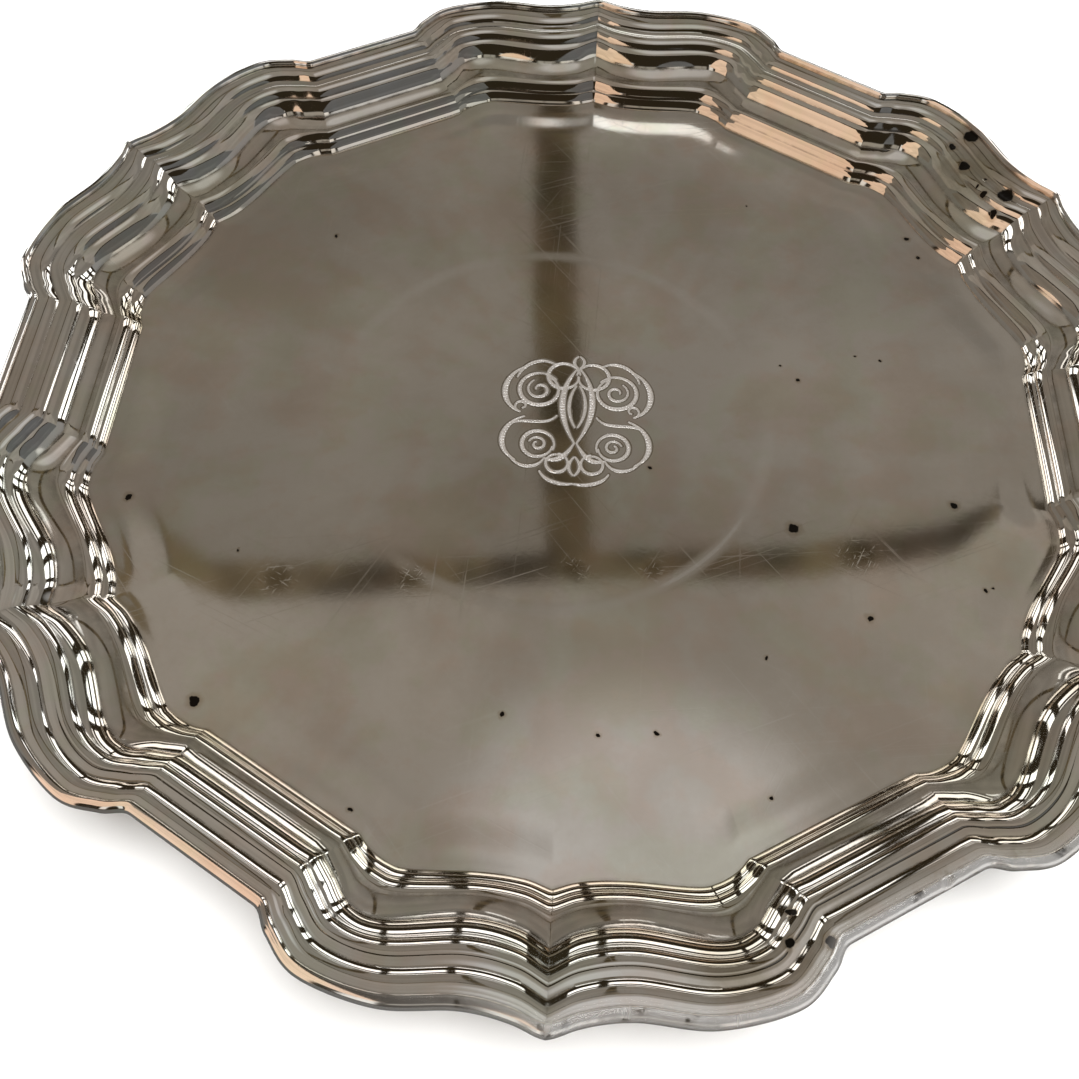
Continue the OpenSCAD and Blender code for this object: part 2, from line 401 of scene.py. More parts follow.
def border_profile():
    """The border's closed outline on a straight side: w, height and the crevice mark, tarnish with painted
    shade.
    """
    rows = []
    for out, up in np.vstack([
            [BORDER_WALL], arc(BORDER_WALL, BEAD, .085, 12), arc(BEAD, BEAD_HEAD, .10, 9),
            arc(BEAD_HEAD, SHELF, -.04, 6), arc(SHELF, RIDGE, .09, 9), arc(RIDGE, BORDER_EDGE, -.03, 3)]):
        # Painted shade with some tarnish: darker beside the bead, the shelf, the outer edge and the wall's
        # foot.
        near = min(abs(out - crevice[0]) for crevice in (BEAD, SHELF, BORDER_EDGE, BORDER_WALL))
        rows.append((out_to_w(out), up, max(0, 1 - near / .3) * .6))
    return rows + [(w, up, .35) for w, up in BORDER_UNDER]


def wear_along(n, columns):
    """How worn section n is from cusp to cusp: the near right one is rubbed bright, its neighbours partly."""
    t = np.linspace(0, 1, columns)
    if n == WORN_SIDE:
        return np.interp(t, [0, .8, 1], [1, .9, .7])
    if n == WORN_SIDE + 1:
        return np.interp(t, [0, .3, .42], [.7, .4, 0])
    if n == SIDES:
        return np.interp(t, [.74, .86, 1], [0, .35, .9])
    return np.zeros(columns)


def build_sections(name, profile, n, material, lines, shape=None):
    """One moulded length from cusp to cusp, with a flat mitred end at each cusp."""
    rows = [rim_row(lines, w, up, side_angle(n)) for w, up, dirt_and_shade in profile]
    if shape:
        rows = shape(rows, n)
    columns = len(rows[0])
    points = dented(np.vstack(rows))
    faces = strip_faces(len(rows), columns, wrap=True)
    faces.append(tuple(r * columns for r in range(len(rows))))
    faces.append(tuple(r * columns + columns - 1 for r in reversed(range(len(rows)))))
    # The profile's crevice mark, tarnish with painted shade, plus dirt at the mitred joints.
    tarnish_and_shade = np.repeat([dirt_and_shade for w, up, dirt_and_shade in profile], columns)
    along = np.tile(np.abs(np.linspace(-1, 1, columns)), len(rows))
    tarnish_and_shade = np.clip(tarnish_and_shade + np.clip((along - MITRE) / (1 - MITRE), 0, 1) * .3, 0, 1)
    across = [np.clip((w - WEAR_FROM) / WEAR_WIDE, 0, 1) * np.clip((up - WEAR_UP) / WEAR_TALL, 0, 1)
              for w, up, dirt_and_shade in profile]
    worn = np.outer(across, wear_along(n, columns)).ravel()
    marks = {"polish": np.ones(len(points)), "tarnish_and_shade": tarnish_and_shade, "graved": np.zeros(len(points)), "worn": worn}
    return piece(f"{name}_body_{n}", points, faces, marks, material, f"{name}_{n}")


# Out and up of the lip's lines on a straight side: its joint's upper edge, crest, shoulder and belly.
LIP_INNER, LIP_CREST, LIP_SHOULDER, LIP_BELLY = (21.82, 13.5), (22.4, 14.7), (24.18, 13.6), (23.9, 11.6)
TIP_BLUNT, TIP_REACH = 0.7, 4.5  # how much the lip's points are rounded off, and over what length
GOUGE_ALONG, GOUGE_REACH = .065, .028  # apothems from the side's middle
GOUGE_DEPTH, BATTER_DEPTH = .75, .11
BATTERED_ROWS = 18  # the profile's rows from the joint over the crest to just below the shoulder


def lip_profile():
    """The rounded lip: an upright oval, flat where it is soldered to the border's edge."""
    lowest = (LIP_INNER[0], LIP_UNDER)
    rows = []
    for out, up in np.vstack([
            [LIP_INNER], arc(LIP_INNER, LIP_CREST, .14, 6), arc(LIP_CREST, LIP_SHOULDER, .15, 10),
            arc(LIP_SHOULDER, LIP_BELLY, .17, 8), arc(LIP_BELLY, lowest, .17, 7)]):
        # Painted shade with some tarnish: darker where the lip meets the border.
        tarnish_and_shade = max(0, 1 - (out - LIP_INNER[0]) / .25) * .5
        rows.append((min(out_to_w(out), 2.0), min(up, LIP_UP), tarnish_and_shade))
    return rows


def lip_shape(rows, n):
    """Rounds the lip's point at each cusp. The near right length has a gouge and a battered crest."""
    for row in rows:
        for end in (0, -1):
            tip = row[end, :2].copy()
            gap = np.hypot(*(row[:, :2] - tip).T) / mm
            blunt = TIP_BLUNT * mm * np.clip(1 - gap / TIP_REACH, 0, 1)**2
            row[:, :2] -= (tip / np.hypot(*tip)) * blunt[:, None]
    if n != WORN_SIDE:
        return rows
    angle = side_angle(n)
    along = rows[0][:, :2] @ [-sin(angle), cos(angle)] / apothem
    gouge = np.clip(1 - np.abs(along - GOUGE_ALONG) / GOUGE_REACH, 0, 1)**.7
    gouge *= .55 + .45 * np.sin(along * 900)
    coarse = np.sin(along * 83) * np.sin(along * 211 + 1)
    fine = np.sin(along * 463) * np.sin(along * 337)
    battered = np.maximum(.5 + .5 * coarse + .35 * fine, 0)
    for r, row in enumerate(rows):
        crest = sin(pi * min(1, r / BATTERED_ROWS))
        row[:, 2] -= crest * mm * (GOUGE_DEPTH * gouge + BATTER_DEPTH * battered)
    return rows


# ---------------------------------------------------------------- feet
SOLE, WAIST, FLARE = 7.5, 3.25, 9.5  # radii of a foot's sole, of its thinnest place and of its top
PAD_UP = 2.6  # height of the pad it stands on
SOLDER_DEEP = 1.6  # depth of the disc that is soldered to the well
FOOT_COLUMNS, STEM_ROWS = 64, 21
STEM_NARROW = .4  # share of the stem's height at which it is thinnest


def foot_profile():
    """Radius and height of a turned foot from the middle of its sole to the middle of its top."""
    tall = foot_top / mm
    stem_top = tall - SOLDER_DEEP
    rows = [(SOLE - 2.4, 0), (SOLE - 1.1, 0), (SOLE - .5, .14), (SOLE - .14, .5), (SOLE, 1.0), (SOLE, 1.7),
            (SOLE - .2, 2.15), (SOLE - .75, 2.5), (SOLE - 1.0, PAD_UP)]
    for u in np.linspace(0, 1, STEM_ROWS):
        lean = abs(2 * u - 2 * STEM_NARROW)**3
        r = WAIST + lean * (4 if u < STEM_NARROW else (FLARE - WAIST - .8) / 1.2**3)
        rows.append((r, PAD_UP + u * (stem_top - PAD_UP)))
    return rows + [(FLARE - .3, stem_top + .3), (FLARE, stem_top + .7), (FLARE, tall), (FLARE - 2.5, tall),
                   (2, tall)]


def build_foot(n, material):
    """A turned foot where the CAD has its foot n."""
    low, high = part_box(f"foot_{n}")
    middle = (low + high) / 2
    columns = FOOT_COLUMNS
    a = np.linspace(0, 2 * pi, columns, endpoint=False)
    rows = []
    for r, z in foot_profile():
        x, y = middle.x + r * mm * np.cos(a), middle.y + r * mm * np.sin(a)
        rows.append(np.column_stack([x, y, np.full(columns, z * mm)]))
    top = (len(rows) - 1) * columns
    sole_middle = len(rows) * columns
    points = np.vstack([*rows, [[middle.x, middle.y, 0], [middle.x, middle.y, foot_top]]])
    faces = strip_faces(len(rows), columns, closed=True)
    for c in range(columns):
        d = (c + 1) % columns
        faces.append((c, d, sole_middle))
        faces.append((top + c, top + d, sole_middle + 1))
    tarnish_and_shade = np.full(len(points), .25)
    marks = {"polish": np.full(len(points), .8), "tarnish_and_shade": tarnish_and_shade, "graved": np.zeros(len(points))}
    return piece(f"foot_body_{n}", points, faces, marks, material, f"foot_{n}")


# ---------------------------------------------------------------- blemishes
# Each is x and y in apothems and a radius. Pits are eaten in, scuffs are patches of short scratches.
WELL_PITS = (
    (-.69, -.72, 1.2), (-.60, .49, .55), (-.11, -.71, .7), (.07, -.74, .5), (.18, -.73, .55),
    (.39, -.56, .45), (.39, -.84, .5), (-.37, -.91, .5), (.46, -.26, 1.35), (.49, .13, .6),
    (.45, .17, .4), (.62, .21, .35), (.68, .20, .4), (.78, .59, .8), (.80, .53, .65), (.39, .67, .35),
    (.84, -.38, .6), (.855, -.373, .4), (.80, -.18, 1.0), (-.92, -.28, .8), (.60, -.46, .8),
    (-.67, -.39, .45), (.16, -.13, .35),
)
RIM_PITS = (
    (.93, .835, 2.2), (.885, .81, 1.1), (.905, .745, 1.6), (.95, .70, .55), (.992, .648, 2.3),
    (.944, .658, .9), (.963, .607, 1.0), (.93, .68, .5), (.398, -1.063, .8), (.388, -1.115, 1.1),
    (.453, -1.114, 1.2),
)
SCUFFS = ((-.58, -.45, 6), (-.31, -.43, 5), (.01, -.39, 5), (.59, -.32, 7), (.17, -.38, 4))
STAINS = ((.50, -1.16, 17), (.30, -1.16, 12), (1.0, -.62, 14), (.93, .74, 15))
RING_KEEN = ((.27, -.33, 19),)  # where the worn ring is clearest
RING_CENTRE, RING_RADIUS = (-.06, -.01), .475  # a worn ring left on the well, in apothems
PIT_WANDER = 2.1  # how far a pit's outline strays
DENT_DEPTH, DENT_FULL = .22, 1.6  # how deep a large pit's dent is, and the radius from which it is that deep


def dented(points):
    """Sinks the metal a little at the larger rim pits."""
    for x, y, radius in RIM_PITS:
        gap = np.hypot(points[:, 0] - x * apothem, points[:, 1] - y * apothem) / (radius * mm)
        points[:, 2] -= DENT_DEPTH * mm * min(1, radius / DENT_FULL) * np.exp(-(gap**2) * 1.2)
    return points


# ---------------------------------------------------------------- materials
# Crevice colour: tarnish, and painted shade in the hollows.
CREVICE_TARNISH_AND_SHADE = (.16, .135, .10, 1)
HAIRLINE = (.97, .95, .91, 1)
CLOUDS = ((48.0, (.93, 1, .90, 1)), (39.0, (1, .90, .86, 1)))  # greenish and pinkish clouds: scale and tint
STAIN_BROWN = (.42, .36, .25, 1)
RING_PALE = (1, .96, .90, 1)
SCUFF_BROWN = (.34, .28, .18, 1)
NICK_PALE = (1, .95, .86, 1)
CUT_BROWN, CUT_PALE = (.40, .34, .26, 1), (.97, .915, .86, 1)  # beside a cut, and in it
PIT_HALO, PIT_DARK = (.50, .40, .28, 1), (.022, .018, .014, 1)
RUBBED_GREY = (.82, .81, .79, 1)
FROSTED, RUBBED = .15, .20  # how much less metallic a cut and the rubbed lip are
BUMP_STRENGTH, BUMP_HEIGHT = .10, .00005  # the height is in metres


class Nodes:
    """Short calls for building a node tree."""

    def __init__(self, tree):
        self.tree = tree

    def add(self, kind, links=None, **values):
        node = self.tree.nodes.new(kind)
        for key, value in values.items():
            setattr(node, key, value)
        for socket, value in (links or {}).items():
            target = node.inputs[socket]
            if isinstance(value, bpy.types.NodeSocket):
                self.tree.links.new(value, target)
            else:
                target.default_value = value
        return node

    def math(self, operation, a, b=0.0, clamp=False):
        return self.add("ShaderNodeMath", {0: a, 1: b}, operation=operation, use_clamp=clamp).outputs[0]

    def ramp(self, value, low, high):
        """0 below low, 1 above high, smooth between."""
        links = {"Value": value, "From Min": low, "From Max": high}
        return self.add("ShaderNodeMapRange", links, interpolation_type="SMOOTHSTEP").outputs[0]

    def vector(self, operation, links):
        return self.add("ShaderNodeVectorMath", links, operation=operation).outputs[0]

    def mix(self, factor, a, b, blend="MIX"):
        """Colour a turned into colour b as factor goes from 0 to 1."""
        node = self.add("ShaderNodeMix", {0: factor, 6: a, 7: b}, data_type="RGBA", blend_type=blend)
        return node.outputs[2]

    def place(self):
        """The point's own coordinates, in metres."""
        return self.add("ShaderNodeTexCoord").outputs["Object"]

    def noise(self, place, scale, detail=4.0, roughness=.55):
        links = {"Vector": place, "Scale": scale, "Detail": detail, "Roughness": roughness}
        return self.add("ShaderNodeTexNoise", links).outputs["Fac"]

    def stretched(self, place, turn, scale):
        """Coordinates turned about z and scaled along each axis."""
        links = {"Vector": place, "Rotation": (0, 0, radians(turn)), "Scale": tuple(1 / s for s in scale)}
        return self.add("ShaderNodeMapping", links, vector_type="TEXTURE").outputs[0]

    def flat_gap(self, place, x, y):
        """Distance in plan from a vertical line, in metres."""
        offset = self.vector("SUBTRACT", {0: place, 1: (x, y, 0)})
        flat = self.vector("MULTIPLY", {0: offset, 1: (1, 1, 0)})
        return self.add("ShaderNodeVectorMath", {0: flat}, operation="LENGTH").outputs["Value"]

    def mark(self, name):
        """A point attribute of the mesh."""
        return self.add("ShaderNodeAttribute", attribute_name=name).outputs["Fac"]


def scratches(n, place, turn, fineness, threshold):
    """Sparse hairlines running one way: 1 on a hairline, 0 off it."""
    line = n.noise(n.stretched(place, turn, (9, fineness, 9)), 1.0, 3.0, .6)
    patch = n.noise(n.stretched(place, turn + 20, (30, 60, 30)), 1.0, 2.0)
    return n.math("MULTIPLY", n.ramp(line, threshold, threshold + .06), n.ramp(patch, .45, .62))


def short_nicks(n, place, turn, shift):
    """Short deep scratches running one way: 1 on a nick, 0 off it."""
    moved = n.vector("ADD", {0: place, 1: (shift, shift, 0)})
    return n.ramp(n.noise(n.stretched(moved, turn, (260, 2300, 260)), 1.0, 2.0), .62, .70)


def closest(n, place, spots):
    """Nearness to the closest of some round spots: 0 at a spot's centre, 1 at its radius."""
    nearest = None
    for x, y, radius in spots:
        gap = n.math("DIVIDE", n.flat_gap(place, x * apothem, y * apothem), radius * mm)
        nearest = gap if nearest is None else n.math("MINIMUM", nearest, gap)
    return nearest


def pit_mask(n, place, pits):
    """Nearness to the closest pit: 0 at its centre, 1 at its radius, ragged. Undersides have none."""
    wander = n.add("ShaderNodeTexNoise", {"Vector": place, "Scale": 420.0, "Detail": 4.0}).outputs["Color"]
    wander = n.vector("SUBTRACT", {0: wander, 1: (.5, .5, .5)})
    wander = n.vector("SCALE", {0: wander, "Scale": PIT_WANDER * mm})
    nearest = closest(n, n.vector("ADD", {0: place, 1: wander}), pits)
    facing = n.add("ShaderNodeSeparateXYZ", {0: n.add("ShaderNodeNewGeometry").outputs["Normal"]}).outputs[2]
    return n.math("ADD", nearest, n.math("MULTIPLY", n.ramp(facing, .1, -.1), 9.0))


class Coat:
    """A silver surface in the making: its nodes, and the colour and roughness that each layer changes."""

    def __init__(self, n, place):
        self.n, self.place = n, place
        self.colour = self.rough = None

    def tint(self, mask, amount, colour):
        self.colour = self.n.mix(self.n.math("MULTIPLY", mask, amount), self.colour, colour)

    def roughen(self, mask, amount, clamp=False):
        self.rough = self.n.math("ADD", self.rough, self.n.math("MULTIPLY", mask, amount), clamp=clamp)


def hairlines(n, place, many):
    """Fine scratches in three directions, or in six on the well, where things slide."""
    lines = n.math("MAXIMUM", scratches(n, place, 24, 1500, .62), scratches(n, place, -51, 1200, .63))
    lines = n.math("MAXIMUM", lines, scratches(n, place, 88, 1400, .63))
    for turn, fineness in ((7, 1700), (-24, 1500), (63, 1600)) if many else ():
        lines = n.math("MAXIMUM", lines, scratches(n, place, turn, fineness, .64))
    return lines


def base_colour(coat, clean, tarnish, mottle, dirt_and_shade, lines, stains):
    """Clean and tarnished silver in clouds, dirt and painted shade in the crevices, hairlines and brown
    stains.
    """
    n, place = coat.n, coat.place
    toned = n.math("ADD", n.math("MULTIPLY", n.noise(place, 9.0, 5.0), .65), n.math("MULTIPLY", mottle, .35))
    coat.colour = n.mix(n.ramp(toned, .38, .62), (*clean, 1), (*tarnish, 1))
    # Painted shade with real dirt: the crevice mark darkens the colour.
    coat.colour = n.mix(dirt_and_shade, coat.colour, CREVICE_TARNISH_AND_SHADE)
    blush = n.ramp(n.noise(place, 160.0, 5.0, .7), .52, .72)
    coat.tint(blush, .35, (clean[0] * .96, clean[1] * .86, clean[2] * .80, 1))
    coat.tint(lines, .09, HAIRLINE)
    for scale, tint in CLOUDS:
        patch = n.math("MULTIPLY", n.ramp(n.noise(place, scale, 3.0, .7), .48, .60), .5)
        coat.colour = n.mix(patch, coat.colour, tint, "MULTIPLY")
    if stains:
        ragged = n.math("MULTIPLY", n.noise(place, 70.0, 5.0, .7), 1.4)
        coat.tint(n.ramp(n.math("ADD", closest(n, place, stains), ragged), 1.75, .75), .7, STAIN_BROWN)


def base_roughness(coat, satin, bright, mottle, dirt_and_shade, lines, graved):
    """Between satin and bright by the mesh's polish mark, rougher in scratches, dirt and cuts."""
    n = coat.n
    coat.rough = n.add("ShaderNodeMix", {0: n.mark("polish"), 2: satin, 3: bright}).outputs[0]
    coat.roughen(n.math("SUBTRACT", mottle, .5), .06)
    coat.roughen(lines, .06)
    coat.roughen(dirt_and_shade, .35)
    coat.roughen(n.ramp(graved, .45, .6), .13, clamp=True)


def worn_ring(coat):
    """A pale ring left by a vessel's foot, clearest at the near right."""
    n, place = coat.n, coat.place
    gap = n.flat_gap(place, RING_CENTRE[0] * apothem, RING_CENTRE[1] * apothem)
    gap = n.math("ABSOLUTE", n.math("SUBTRACT", gap, RING_RADIUS * apothem))
    worn = n.math("MULTIPLY", n.ramp(gap, 2.8 * mm, .3 * mm), n.ramp(n.noise(place, 13.0, 2.0), .36, .56))
    keen = n.math("MULTIPLY", n.ramp(gap, .9 * mm, .2 * mm), n.ramp(closest(n, place, RING_KEEN), 1.0, .5))
    pale = n.math("MAXIMUM", n.math("MULTIPLY", worn, .28), n.math("MULTIPLY", keen, .75))
    coat.colour = n.mix(pale, coat.colour, RING_PALE)
    coat.roughen(worn, .10)


def scuffed(coat):
    """Brown patches with short deep scratches in them."""
    n, place = coat.n, coat.place
    patch = n.ramp(n.math("ADD", closest(n, place, SCUFFS), n.noise(place, 160.0, 4.0)), 1.35, .6)
    coat.tint(patch, .62, SCUFF_BROWN)
    nicks = n.math("MAXIMUM", short_nicks(n, place, 12, 0), short_nicks(n, place, -28, 3))
    nicks = n.math("MAXIMUM", nicks, short_nicks(n, place, 64, 7))
    nicks = n.math("MULTIPLY", nicks, n.ramp(closest(n, place, SCUFFS), 1.1, .3))
    coat.tint(nicks, .6, NICK_PALE)
    coat.roughen(nicks, .18)


def engraved(coat, graved):
    """Pale cuts with stained metal beside them."""
    n = coat.n
    beside = n.math("MULTIPLY", n.ramp(graved, .02, .3), n.math("SUBTRACT", 1.0, n.ramp(graved, .42, .56)))
    coat.tint(beside, .6, CUT_BROWN)
    coat.colour = n.mix(n.ramp(graved, .46, .58), coat.colour, CUT_PALE)


def pitted(coat, pits):
    """Dark pits, each in a brown halo."""
    n = coat.n
    near = pit_mask(n, coat.place, pits)
    coat.tint(n.ramp(near, 2.2, 1.0), .55, PIT_HALO)
    pit = n.ramp(near, 1.08, .86)
    coat.colour = n.mix(pit, coat.colour, PIT_DARK)
    coat.roughen(pit, .35, clamp=True)


def silver(name, clean, tarnish, satin, bright, pits=(), well=False, stains=(), wear=False):
    """Old silver. well adds the ring, the scuffs and frosted cuts, wear the rubbed length of the rim."""
    material = bpy.data.materials.new(name)
    material.use_nodes = True
    tree = material.node_tree
    shader = tree.nodes["Principled BSDF"]
    shader.inputs["Metallic"].default_value = 1.0
    n = Nodes(tree)
    place = n.place()
    coat = Coat(n, place)
    mottle = n.noise(place, 75.0, 6.0, .65)
    graved = n.mark("graved")
    # The crevice mark, partly dirt and partly painted shade, broken up by noise.
    dirt_and_shade = n.math("MULTIPLY", n.mark("tarnish_and_shade"), n.ramp(n.noise(place, 220.0, 4.0), .25, .7), clamp=True)
    lines = hairlines(n, place, well)
    base_colour(coat, clean, tarnish, mottle, dirt_and_shade, lines, stains)
    base_roughness(coat, satin, bright, mottle, dirt_and_shade, lines, graved)
    if well:
        worn_ring(coat)
        scuffed(coat)
    engraved(coat, graved)
    if well:
        frosted = n.math("MULTIPLY", n.ramp(graved, .48, .75), FROSTED)
        tree.links.new(n.math("SUBTRACT", 1.0, frosted), shader.inputs["Metallic"])
    if pits:
        pitted(coat, pits)
    if wear:
        rubbed = n.math("MULTIPLY", n.mark("worn"), n.ramp(n.noise(place, 230.0, 5.0, .7), .28, .46))
        coat.tint(rubbed, .7, RUBBED_GREY)
        coat.roughen(rubbed, .20, clamp=True)
        metal = n.math("SUBTRACT", 1.0, n.math("MULTIPLY", rubbed, RUBBED))
        tree.links.new(metal, shader.inputs["Metallic"])
    tree.links.new(coat.colour, shader.inputs["Base Color"])
    tree.links.new(coat.rough, shader.inputs["Roughness"])
    fine = n.math("MULTIPLY", n.noise(place, 900.0, 3.0), .25)
    height = n.math("SUBTRACT", fine, n.math("MULTIPLY", lines, .2))
    height = n.math("ADD", height, n.math("MULTIPLY", mottle, 1.2))
    bump = n.add("ShaderNodeBump", {"Strength": BUMP_STRENGTH, "Distance": BUMP_HEIGHT, "Height": height})
    tree.links.new(bump.outputs[0], shader.inputs["Normal"])
    return material


# ---------------------------------------------------------------- studio
# Azimuth is 0 at the far side, 90 at the right; elevation is 0 level with the salver. Both are in degrees.
WHITE, DAY, SKY = (1, 1, 1), (.95, .98, 1), (.97, .98, 1)
CREAM, IVORY, LINEN = (1, .98, .95), (1, .95, .87), (1, .95, .86)
PEACH = (1, .75, .58)
GROUND_GREY, ROOM_DARK = (.15, .15, .148, 1), (.026, .020, .012, 1)
FLOOR_LINE = (-9, -3)  # elevations between which the grey below turns into the room
WALL_SOFT, PANE_SOFT = (1.5, 2.5), (.4, .7)  # softness of their edges in azimuth and elevation
# Windows: their panes' azimuths, their panes' elevations, colour and strength.
ROWS = ((-34, -13), (-5, 10), (15, 27.5))
WINDOWS = (
    (((-66, -54), (-48, -38), (-32, -25)), ROWS, DAY, 2.3),
    (((-20, -7), (-4, 20)), ((13, 21), (25.5, 27)), WHITE, 1.7),
    (((26, 32), (37, 47), (53, 60)), ROWS, DAY, 2.3),
    (((1.6, 10.5),), ((31, 37),), DAY, 1.3),
    (((-2.6, -1.4),), ((32, 36),), DAY, 1.0),
)
WALLS = (  # lit stretches of wall: azimuths, elevations, colour and strength
    ((-146, -108), (-12, 60), PEACH, .95),
    ((150, 162), (2, 42), CREAM, .9),
    ((-166, -154), (2, 42), CREAM, .9),
    ((168, 180), (20, 34), LINEN, .35),
    ((-180, -172), (20, 34), LINEN, .35),
    ((66, 104), (-2, 44), SKY, .28),
    ((-104, -68), (-2, 44), (1, .95, .88), .2),
    ((-64, 64), (28, 38), IVORY, .19),
    ((104, 146), (-12, 24), SKY, .75),
)

# Ceiling panels: corners in apothems, x to the right and y away, with two darker beams in front of them.
NEAR_LEFT = [(0, -.8), (0, 5.3), (-2.4, 4.95), (-3.8, 4.8), (-5.1, 5.2), (-18, 6), (-18, 5), (-9, 3.4),
             (-4.8, 1.2), (-2.4, -.8)]
FAR_LEFT = [(0, 5.3), (0, 14.8), (-18, 14.8), (-18, 6), (-5.1, 5.2), (-3.8, 4.8), (-2.4, 4.95)]
NEAR_RIGHT = [(0, -.8), (2.4, -.8), (4.8, 1.2), (9, 3.4), (18, 5), (18, 6.4), (5.8, 6.55), (4.7, 6.0),
              (2.9, 5.5), (0, 5.3)]
FAR_RIGHT = [(0, 5.3), (2.9, 5.5), (4.7, 6.0), (5.8, 6.55), (18, 6.4), (18, 14.8), (0, 14.8)]
BEAM_ACROSS = [(-5.0, 4.9), (-3.8, 4.55), (-2.4, 4.72), (0, 5.08), (2.9, 5.32), (4.8, 5.8), (6.05, 6.86),
               (6.1, 6.98), (4.6, 6.16), (2.8, 5.74), (0, 5.47), (-2.5, 5.17), (-4.1, 5.08), (-4.7, 5.4),
               (-5.1, 5.5)]
BEAM_ALONG = [(-.53, 9.4), (-.12, 5.4), (.42, 5.5), (.08, 9.4), (-.2, 14.9), (-.78, 14.9)]
NEAR_BRIGHT = [(-1.3, 4.6), (-1.3, -.6), (3.6, -.6), (3.6, 4.6)]
BLUE = [(3.0, -.8), (3.4, -14), (18, -14), (18, 4.6), (9.4, 3.0), (5.4, 1.0)]
PEACHY = [(-18, -14), (-3.4, -14), (-3.0, -.8), (-4.6, .2), (-7.5, -2.5), (-18, -4.5)]
DUN = [(-18, -4.5), (-7.5, -2.5), (-4.6, .2), (-5.4, 1.0), (-9.4, 2.8), (-18, 3.2)]
CEILING_UP = 10.1  # apothems above the well
BEAM_COLOUR = (1, .78, .46)
CLOUD = (1.4, .25)  # scale and depth of a panel's shading
FADE_FROM = .45  # share of its radius from which a soft panel fades
PANELS = (  # name, corners, height in apothems, strength, colour, and where it differs, shading and fading
    ("panel_near_left", NEAR_LEFT, CEILING_UP, .295, (1, .93, .84)),
    ("panel_near_right", NEAR_RIGHT, CEILING_UP, .305, (1, .945, .87)),
    ("panel_far_left", FAR_LEFT, CEILING_UP, .215, (1, .93, .83)),
    ("panel_far_right", FAR_RIGHT, CEILING_UP, .23, (1, .94, .86)),
    ("beam_across", BEAM_ACROSS, 10, .092, BEAM_COLOUR, (9, 1.3)),
    ("beam_along", BEAM_ALONG, 9.98, .072, BEAM_COLOUR, (9, 1.0)),
    ("panel_near_bright", NEAR_BRIGHT, 10.05, .58, (.99, .99, 1), CLOUD, ((1.05, 2.0), 2.4)),
    ("panel_blue", BLUE, 10, .15, (.93, .96, 1)),
    ("panel_peach", PEACHY, 10, .85, PEACH),
    ("panel_dun", DUN, 10, .2, (1, .87, .74)),
)
KEY_PLACE, KEY_SIZE, KEY_POWER = (.25, -.35, 1.9), 1.2, 60  # metres and watts
FLOOR_REACH, BACKDROP_REACH = 30, 14  # apothems
BACKDROP_COLUMNS = 96


def band(n, value, low, high, soft):
    """1 between low and high, 0 outside."""
    below, above = n.ramp(value, low - soft, low + soft), n.ramp(value, high - soft, high + soft)
    return n.math("MULTIPLY", below, n.math("SUBTRACT", 1.0, above))


def spans(n, value, edges, soft):
    """1 inside any of the spans, 0 between them."""
    total = band(n, value, *edges[0], soft)
    for low, high in edges[1:]:
        total = n.math("ADD", total, band(n, value, low, high, soft))
    return total


def world_light():
    """A plain dark room with lit stretches of wall, paned windows at the far side and grey below it."""
    world = bpy.data.worlds.new("studio")
    bpy.context.scene.world = world
    world.use_nodes = True
    tree = world.node_tree
    n = Nodes(tree)
    background = tree.nodes["Background"]
    split = n.add("ShaderNodeSeparateXYZ", {0: n.add("ShaderNodeTexCoord").outputs["Generated"]})
    x, y, z = split.outputs
    azimuth = n.math("DEGREES", n.math("ARCTAN2", x, y))
    elevation = n.math("DEGREES", n.math("ARCSINE", z))
    colour = n.mix(n.ramp(elevation, *FLOOR_LINE), GROUND_GREY, ROOM_DARK)
    for across, up, tint, strength in WALLS:
        sideways, upright = band(n, azimuth, *across, WALL_SOFT[0]), band(n, elevation, *up, WALL_SOFT[1])
        mask = n.math("MULTIPLY", sideways, upright)
        colour = n.mix(mask, colour, (*(c * strength for c in tint), 1))
    for across, up, tint, strength in WINDOWS:
        sideways, upright = spans(n, azimuth, across, PANE_SOFT[0]), spans(n, elevation, up, PANE_SOFT[1])
        mask = n.math("MULTIPLY", sideways, upright)
        colour = n.mix(mask, colour, (*(c * strength for c in tint), 1))
    tree.links.new(colour, background.inputs[0])
    background.inputs[1].default_value = 1.0


def stage_piece(name, mesh, material, **seen_by):
    """Adds a piece of the studio to the scene. seen_by says which rays see it."""
    mesh.materials.append(material)
    thing = bpy.data.objects.new(name, mesh)
    bpy.context.collection.objects.link(thing)
    for kind, seen in seen_by.items():
        setattr(thing, f"visible_{kind}", seen)


def bare_material(name):
    """A material with an empty node tree."""
    material = bpy.data.materials.new(name)
    material.use_nodes = True
    material.node_tree.nodes.clear()
    return material, Nodes(material.node_tree)


